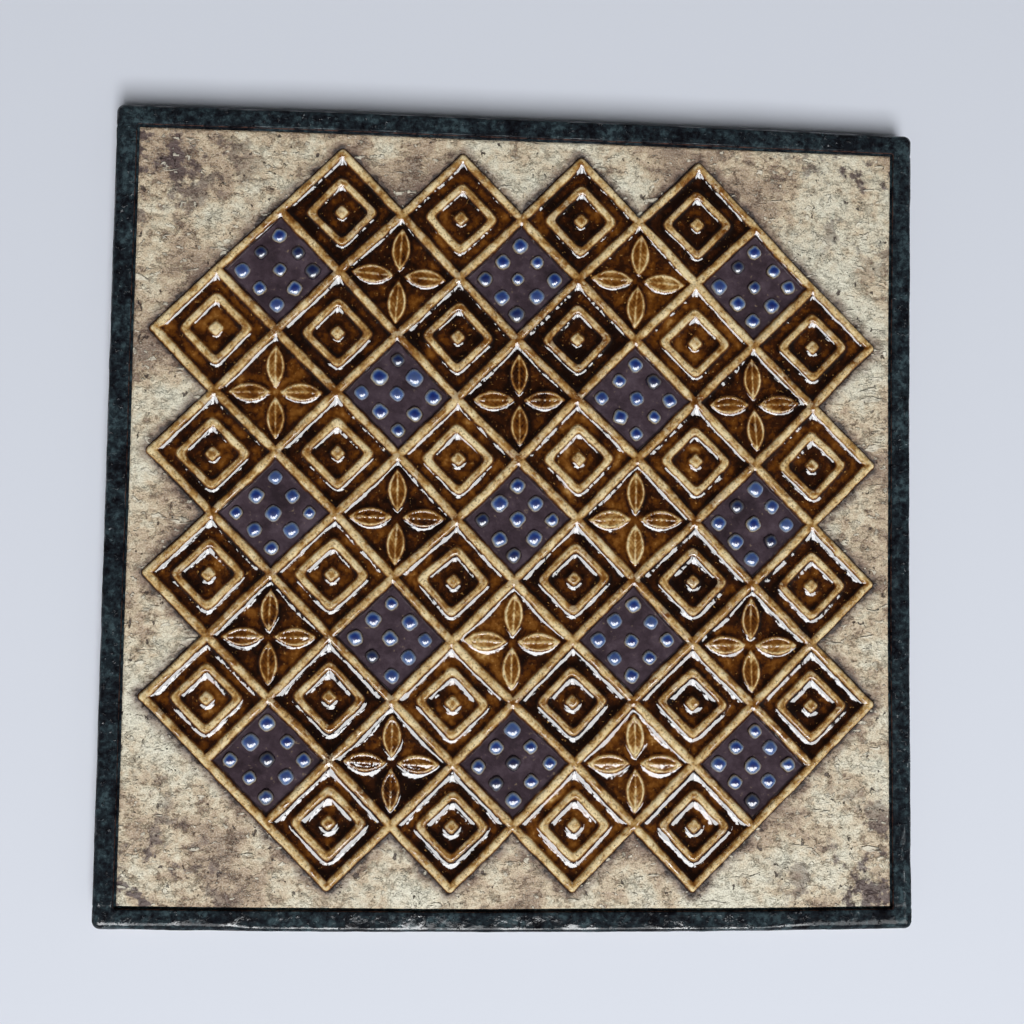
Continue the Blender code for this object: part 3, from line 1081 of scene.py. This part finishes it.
def border_look():
    """Blue-black gloss glaze, mottled, with brown clay showing where it thins on the inner edge."""
    look = Look("border_glaze")
    thin = look.attribute("thin")
    clouds = look.noise(5 * MM, 4, 0.6, 0.2)
    mottles = look.noise(1.2 * MM, 5, 0.72, 0.2)
    dark = look.ramp(look.plus(look.times(clouds, 0.4), look.times(mottles, 0.6)), BLUE_BLACK)
    bare = look.plus(thin, look.swing(mottles, 1.4))
    dark = look.cover(dark, look.band(bare, 0.72, 1.05, 0.0, 0.85), (92, 60, 50))
    look.set(Base_Color=dark, Roughness=0.5, Specular_IOR_Level=0.0)
    covered = look.times(look.band(thin, 0.5, 0.1), look.attribute("lit"))
    patches = look.band(look.noise(7 * MM, 4, 0.6), 0.46, 0.58, 0.15, 0.60)
    look.set(Coat_Weight=look.times(covered, patches), Coat_IOR=1.62, Coat_Roughness=0.08)
    peel = look.plus(look.noise(1.1 * MM, 3, 0.55), look.times(look.noise(3.6 * MM, 2, 0.5), 1.4))
    blisters = look.band(look.noise(0.9 * MM, 2, 0.5, 0.3), 0.62, 0.70)
    surface = look.bump(look.plus(peel, look.times(blisters, 3.0)), 0.09 * MM)
    look.set(Normal=surface, Coat_Normal=surface)
    return look.material


def clay_look():
    """Unglazed fired clay, buff with iron specks and a faint print of the cloth it dried on."""
    look = Look("bare_clay")
    grain = look.noise(0.5 * MM, 3, 0.7)
    colour = look.ramp(look.noise(30 * MM, 4, 0.55), BUFF)
    specks = look.band(look.noise(0.9 * MM, 2, 0.5), 0.68, 0.72)
    colour = look.cover(colour, look.times(specks, 0.6), (84, 56, 38))
    pale = look.times(look.band(grain, 0.45, 0.65), 0.3)
    look.set(Base_Color=look.cover(colour, pale, (206, 182, 148)), Roughness=0.85)
    threads = [look.noise(0.6 * MM, 1, stretch=along) for along in ((1.0, 0.12, 1.0), (0.12, 1.0, 1.0))]
    look.set(Normal=look.bump(look.plus(grain, look.larger(*threads)), 0.18 * MM))
    return look.material


def floor_look():
    look = Look("pale_floor")
    look.set(Base_Color=linear((224, 228, 238)), Roughness=0.7)
    return look.material


def make_floor():
    mesh = bpy.data.meshes.new("floor")
    corners = [(x * FLOOR_REACH, y * FLOOR_REACH, 0) for x, y in ((-1, -1), (1, -1), (1, 1), (-1, 1))]
    mesh.from_pydata(corners, [], [(0, 1, 2, 3)])
    mesh.materials.append(floor_look())
    floor = add_object("floor", mesh)


def add_softbox(name, place, size, radiance):
    """A lamp that faces the middle of the plaque's back."""
    data = bpy.data.lights.new(name, "AREA")
    data.shape = "RECTANGLE"
    data.size, data.size_y = size
    data.energy = radiance * math.pi * size[0] * size[1]
    data.color = LAMP_COLOUR
    light = add_object(name, data)
    light.location = place
    light.rotation_euler = (-Vector(place)).to_track_quat("-Z", "Y").to_euler()
    light.visible_camera = False
    return light


def make_room_light():
    """Weak light from low all round, weaker still from beyond the plaque's upper edge."""
    world = bpy.data.worlds.new("studio")
    world.use_nodes = True
    nodes = Nodes(world.node_tree)
    background = world.node_tree.nodes["Background"].inputs
    background["Color"].default_value = ROOM_COLOUR
    direction = nodes.new("SeparateXYZ")
    nodes.feed(direction.inputs[0], nodes.coordinates["Generated"])
    full, gone = (math.sin(math.radians(height)) for height in (ROOM_LIGHT_FULL, ROOM_LIGHT_GONE))
    by_height = nodes.band(direction.outputs["Z"], full, gone, ROOM_LIGHT, CEILING_LIGHT)
    by_side = nodes.band(direction.outputs["Y"], -0.5, 0.6, 1.0, FAR_SIDE_SHARE)
    nodes.feed(background["Strength"], nodes.times(by_height, by_side))
    bpy.context.scene.world = world


def make_light():
    """A softbox high beyond the plaque's lower edge, two that only give sheen, and a dim room."""
    make_room_light()
    for number, (turn, height, half_width, half_height, radiance, full) in enumerate(LAMPS, 1):
        side, tilt = math.radians(turn), math.radians(height)
        level = LAMP_DISTANCE * math.cos(tilt)
        place = (level * math.sin(side), -level * math.cos(side), LAMP_DISTANCE * math.sin(tilt))
        wide = 2 * level * math.tan(math.radians(half_width))
        tall = 2 * LAMP_DISTANCE * math.tan(math.radians(half_height))
        lamp = add_softbox(f"softbox_{number}", place, (wide, tall), radiance)
        lamp.visible_diffuse = full


def make_camera():
    """A camera at the photograph's place and angle, level with the plaque but for a small roll."""
    forward = (CAMERA_AIM - CAMERA_PLACE).normalized()
    right = forward.cross(Vector((0, 1, 0))).normalized()
    up = right.cross(forward)
    turned = Matrix.Rotation(CAMERA_ROLL, 3, -forward)
    right, up = turned @ right, turned @ up
    data = bpy.data.cameras.new("camera")
    data.lens = CAMERA_LENS
    data.sensor_width = SENSOR
    data.clip_start = 0.01
    camera = add_object("camera", data)
    facing = Matrix((right, up, -forward)).transposed().to_4x4()
    camera.matrix_world = Matrix.Translation(CAMERA_PLACE) @ facing
    bpy.context.scene.camera = camera


make_camera()
make_light()
make_floor()
make_body(clay_look())
make_border(border_look())
make_field(field_look())
make_relief(relief_look())
make_studs(stud_look())
bpy.context.scene.view_settings.view_transform = "Standard"
